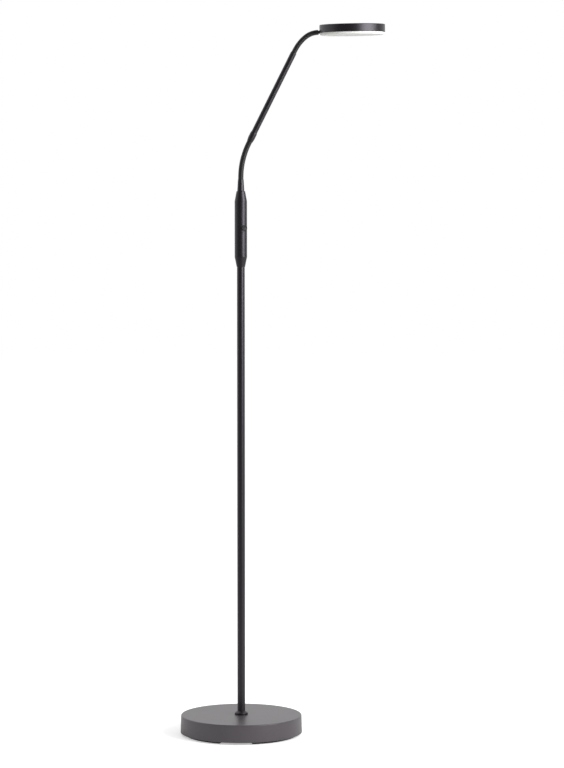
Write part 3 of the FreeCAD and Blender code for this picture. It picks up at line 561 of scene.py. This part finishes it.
def flexible_neck(neck, crest, start, below, above, lean, tail):
    """Makes the ribbed sleeves of one neck, from the body below it to the one above, and
    returns its end. They follow a smooth line past its hinges. Its last stretch leans over
    by so many degrees, and ends a tail's millimetres after the last hinge."""
    hinges = [Vector(j["pos_m"]) for j in frame["joints"] if j["name"].startswith(neck + "_")]
    bodies = [below] + [f"{neck}_{number}" for number in range(1, len(hinges))] + [above]
    way = Vector((math.sin(math.radians(lean)), 0, math.cos(math.radians(lean))))
    end = hinges[-1] + way * (tail / 1000)
    corners = [start] + hinges + [end]
    middles = [(a + b) / 2 for a, b in zip(corners, corners[1:])]
    line = [start]
    marks = []
    arc_steps = 8
    for number, hinge in enumerate(hinges):
        for step in range(arc_steps + 1):
            t = step / arc_steps
            line.append(middles[number] * (1 - t) ** 2 + hinge * (2 * t * (1 - t))
                        + middles[number + 1] * t * t)
        marks.append(len(line) - 1)
    line.append(end)
    travelled = [0.0]
    for a, b in zip(line, line[1:]):
        travelled.append(travelled[-1] + (b - a).length)

    def along(distance):
        """The line's point and direction at a distance from its start."""
        after = next((i for i, s in enumerate(travelled) if s >= distance and i), len(line) - 1)
        if travelled[after] - travelled[after - 1] < 1e-7:
            after += 1
        run = line[after] - line[after - 1]
        return line[after - 1] + run.normalized() * (distance - travelled[after - 1]), run

    count = round(travelled[-1] * 1000 / strip_turn)
    pitch = travelled[-1] / count
    seams = [0] + [round(travelled[mark] / pitch) for mark in marks[:-1]] + [count]
    groove = crest - rib_height
    rise = [(groove, 0.05), (groove + 0.2, 0.13), (groove + 0.31, 0.24), (crest, 0.4)]
    rib = rise + [(r, 1 - share) for r, share in reversed(rise)]
    for number, (first, last) in enumerate(zip(seams, seams[1:])):
        length = (last - first) * pitch * 1000
        outline = [(neck_bore, 0), (groove, 0)]
        for turn in range(last - first):
            outline += [(r, (turn + share) * pitch * 1000) for r, share in rib]
        outline += [(groove, length), (neck_bore, length)]
        sleeve = turned(outline, (), 40)
        for vert in sleeve.verts:
            point, run = along(min(max(first * pitch + vert.co.z, 0), travelled[-1]))
            run.normalize()
            vert.co = point + Vector((run.z, 0, -run.x)) * vert.co.x + Vector((0, vert.co.y, 0))
        cut = [along(place * pitch)[0] for place in (first, last)]
        nodes = [f"{neck}_neck_{number:02d}"]
        if number + 1 == len(hinges):
            nodes.append(f"{neck}_neck_{number + 1:02d}")
        piece(f"{neck}_neck_sleeve_{number + 1}", sleeve, strip, "neck_black",
              (bodies[number], bodies[number + 1], cut[0], cut[1]), *nodes)
    return end


arm_lean = 26.5
arm_foot = flexible_neck("lower", 5.5, Vector((0, 0, ferrule_top / 1000)), "stand", "arm",
                         arm_lean, 4)


# ---- Arm ferrule and arm tube
# A straight coated steel tube, glued into a turned ferrule that holds the lower neck. Its
# far end is rolled in a little round the upper neck.

arm_radius, arm_wall, arm_start, arm_length = 6, 1.3, 12, 202.3
socket_radius, socket_tip = 6.9, 6.45
flare_end, shoulder, socket_end = 8, 18, 21

to_arm = Matrix.Translation(arm_foot) @ Matrix.Rotation(math.radians(arm_lean), 4, "Y")
arm_bore = arm_radius + seat_gap
socket = turned([(neck_socket, 0), (ferrule_mouth, 0), (socket_radius, flare_end),
                 (socket_radius, shoulder), (socket_tip, socket_end), (arm_bore, socket_end),
                 (arm_bore, arm_start), (lead_way, arm_start), (lead_way, joint_depth),
                 (neck_socket, joint_depth)],
                [(1, 0.3), (2, 0.8), (3, 0.6), (4, 0.3)], 80)
piece("arm_socket", placed(socket, to_arm), powder_coat, "black_paint", "arm", "arm_ferrule")

arm = tube(arm_radius - arm_wall, arm_radius, arm_start, arm_length, [(2, 0.6)], 64)
bmesh.ops.subdivide_edges(arm, cuts=2, edges=[e for e in arm.edges if e.calc_length() > 0.1])
piece("arm_straight_tube", placed(arm, to_arm), powder_coat, "black_paint", "arm", "arm_tube")
dress(jacket, "arm_lead")


# ---- Upper neck
# The same kind of flexible tube, a little thinner. It curves over and carries the head.

arm_tip = to_arm @ Vector((0, 0, arm_length / 1000))
head_entry = flexible_neck("upper", 5.2, arm_tip, "arm", "head", 83, 8)


# ---- Head stub
# A short steel tube, blackened like the neck and crimped into its end. It shows between
# the neck and the head, and a bracket grips it inside.

head_reach, head_drop = 69.2, 1.6
head_tilt, stub_tilt = 0.9, 6.1
stub_radius, stub_bore = 3.45, 2.0

to_entry = Matrix.Translation(head_entry) @ Matrix.Rotation(math.radians(-head_tilt), 4, "Y")
to_head = to_entry @ Matrix.Translation((head_reach / 1000, 0, -head_drop / 1000))
to_stub = to_entry @ Matrix.Rotation(math.radians(90 - stub_tilt), 4, "Y")
stub = tube(stub_bore, stub_radius, -3.7, 16.2, [(1, 0.3), (2, 0.4)], 56)
piece("stub_tube", placed(stub, to_stub), strip, "plated_steel", "head", "head_stub")


# ---- Bracket in the head
# A small milled aluminium block, bored for the stub. Two screws hang it from bosses under
# the housing's roof.

aluminium = Finish("milled_aluminium", Metallic=1.0)
lines = aluminium.place.grain(0.35, 3.0, (0.06, 1, 1))
aluminium.vary("Base Color", aluminium.place.grain(5.0).between((0.66, 0.67, 0.68),
                                                               (0.8, 0.8, 0.8)))
aluminium.vary("Roughness", 0.25 + lines * 0.2)
aluminium.relief(lines, 0.006)
dress(aluminium, "head_bracket", "led_board")
dress(zinc, "head_bracket_screws")


# ---- Head housing
# A shallow round pressing in aluminium with the pole's satin coat, open below. Its rim is
# notched for the stub, and its top edge is rounded.

def stub_notch():
    """The space that the stub passes through at the head's rim."""
    return placed(rod(stub_radius + slide_gap, -0.1, 17, 56), to_stub)


head_radius, head_height, head_wall = 67, 16.2, 1.5

housing_bore, housing_roof = head_radius - head_wall, head_height - head_wall
housing = turned([(0, housing_roof), (housing_bore, housing_roof), (housing_bore, 0),
                  (head_radius, 0), (head_radius, head_height), (0, head_height)],
                 [(2, 0.3), (3, 0.3), (4, 1.2)], 192)
piece("head_shell", bored(placed(housing, to_head), stub_notch()), powder_coat, "head_black",
      "head", "head_housing")


# ---- Light source
# Yellow phosphor chips in two rings on an aluminium board, and a thin white cone that
# throws their light down.

phosphor = Finish("led_phosphor", Roughness=0.35)
gel = phosphor.place.grain(0.5, 3.0)
phosphor.vary("Base Color", gel.between((0.72, 0.55, 0.12), (0.86, 0.72, 0.24)))
phosphor.relief(gel, 0.02)
dress(phosphor, "led_chips")

white_cone = Finish("white_cone")
matt = white_cone.place.grain(0.8, 3.0)
white_cone.vary("Base Color", matt.between((0.8, 0.8, 0.8), (0.87, 0.87, 0.86)))
white_cone.vary("Roughness", 0.55 + matt * 0.15)
dress(white_cone, "reflector")


# ---- Diffuser
# A moulded dish of opal plastic with a lightly frosted skin, pressed into the rim of the
# housing. Its edge is rounded and the same notch lets the stub pass.

dish_radius, dish_depth, dish_floor = 66.2, 5, 2
lip_gap, lip_height, lip_wall = 0.2, 3, 1.5

opal = Finish("opal_plastic", IOR=1.49, Specular_IOR_Level=0.3)
cloud = opal.place.grain(22.0, 3.0)
frost = opal.place.grain(0.4, 3.0)
opal.vary("Base Color", cloud.between((0.82, 0.82, 0.79), (0.85, 0.85, 0.82)))
opal.vary("Roughness", 0.5 + frost * 0.12)
opal.relief(frost, 0.006)

lip_radius = housing_bore - lip_gap
dish = turned([(0, -dish_depth), (dish_radius, -dish_depth), (dish_radius, 0), (lip_radius, 0),
               (lip_radius, lip_height), (lip_radius - lip_wall, lip_height),
               (lip_radius - lip_wall, dish_floor - dish_depth), (0, dish_floor - dish_depth)],
              [(1, 3.0), (2, 0.25)], 192)
piece("opal_dish", bored(placed(dish, to_head), stub_notch()), opal, "opal", "head", "diffuser")


# ---- Floor, light and camera
# A white sweep under the lamp and behind it, in a white room that is dark in front. The floor in
# front of the lamp carries painted shade: it is dark to all rays but the camera's, so the paint
# reflects it dark. One tall softbox stands at the right.

floor_reach, floor_drop = 12, 0.0002

floor_mesh = bmesh.new()
bmesh.ops.create_grid(floor_mesh, x_segments=2, y_segments=2, size=floor_reach)
bmesh.ops.translate(floor_mesh, vec=(0, 0, -floor_drop), verts=floor_mesh.verts)
mesh = bpy.data.meshes.new("floor")
floor_mesh.to_mesh(mesh)
floor_mesh.free()
floor = bpy.data.objects.new("floor", mesh)
bpy.context.scene.collection.objects.link(floor)
ground = Finish("floor_white_painted_shade_in_front", Roughness=0.9, Specular_IOR_Level=0.1)
tree = ground.material.node_tree
rays = Feed(tree.nodes.new("ShaderNodeLightPath").outputs["Is Camera Ray"])
# Painted shade: for all but camera rays the floor darkens from white to 0.3 in front of the lamp,
# standing for the unlit studio there
outside_painted_shade = ground.y.step(-1.5, -0.4).maths("MAXIMUM", rays)
ground.vary("Base Color", outside_painted_shade.between((0.3, 0.3, 0.3), (0.95, 0.95, 0.95)))
glow = rays.add("ShaderNodeEmission", {}, {"Color": (1, 1, 1, 1), "Strength": rays * 0.45})
both = rays.add("ShaderNodeAddShader", {}, {0: Feed(ground.shader.outputs[0]), 1: glow})
tree.links.new(both.socket, tree.nodes["Material Output"].inputs["Surface"])
mesh.materials.append(ground.material)

world = bpy.data.worlds.new("studio")
bpy.context.scene.world = world
world.use_nodes = True
tree = world.node_tree
direction = Feed(tree.nodes.new("ShaderNodeTexCoord").outputs["Generated"])
split = direction.add("ShaderNodeSeparateXYZ", {}, {0: direction})
sideways, depth = [Feed(split.socket.node.outputs[axis]) for axis in "XY"]
paths = tree.nodes.new("ShaderNodeLightPath")
seen = Feed(paths.outputs["Is Camera Ray"])
glossy = Feed(paths.outputs["Is Glossy Ray"]) + Feed(paths.outputs["Is Transmission Ray"])
room = (depth * 0.9 - sideways * 0.45).step(-0.35, 0.4) * 0.92 + 0.08
level = seen + glossy * room + (1 - seen) * (1 - glossy) * 0.6
sky = tree.nodes["Background"]
sky.inputs["Color"].default_value = (1, 1, 1, 1)
tree.links.new(level.socket, sky.inputs["Strength"])

softbox = bpy.data.lights.new("softbox", "AREA")
softbox.shape = "RECTANGLE"
softbox.size = 1.4
softbox.size_y = 2.2
softbox.energy = 74
lamp = bpy.data.objects.new("softbox", softbox)
lamp.location = (2.1, -1.3, 1.65)
aim = Vector((0, 0, lamp.location.z))
lamp.rotation_euler = (aim - lamp.location).to_track_quat("-Z", "Z").to_euler()
bpy.context.scene.collection.objects.link(lamp)

look_down = 4.286

view = bpy.data.cameras.new("camera")
view.lens = 142.5
view.sensor_width = 36
view.clip_end = 60
camera = bpy.data.objects.new("camera", view)
camera.location = (0.0844, -6.24, 1.1957)
camera.rotation_euler = (math.radians(90 - look_down), 0, 0)
bpy.context.scene.collection.objects.link(camera)
bpy.context.scene.camera = camera
bpy.context.scene.view_settings.view_transform = "Standard"
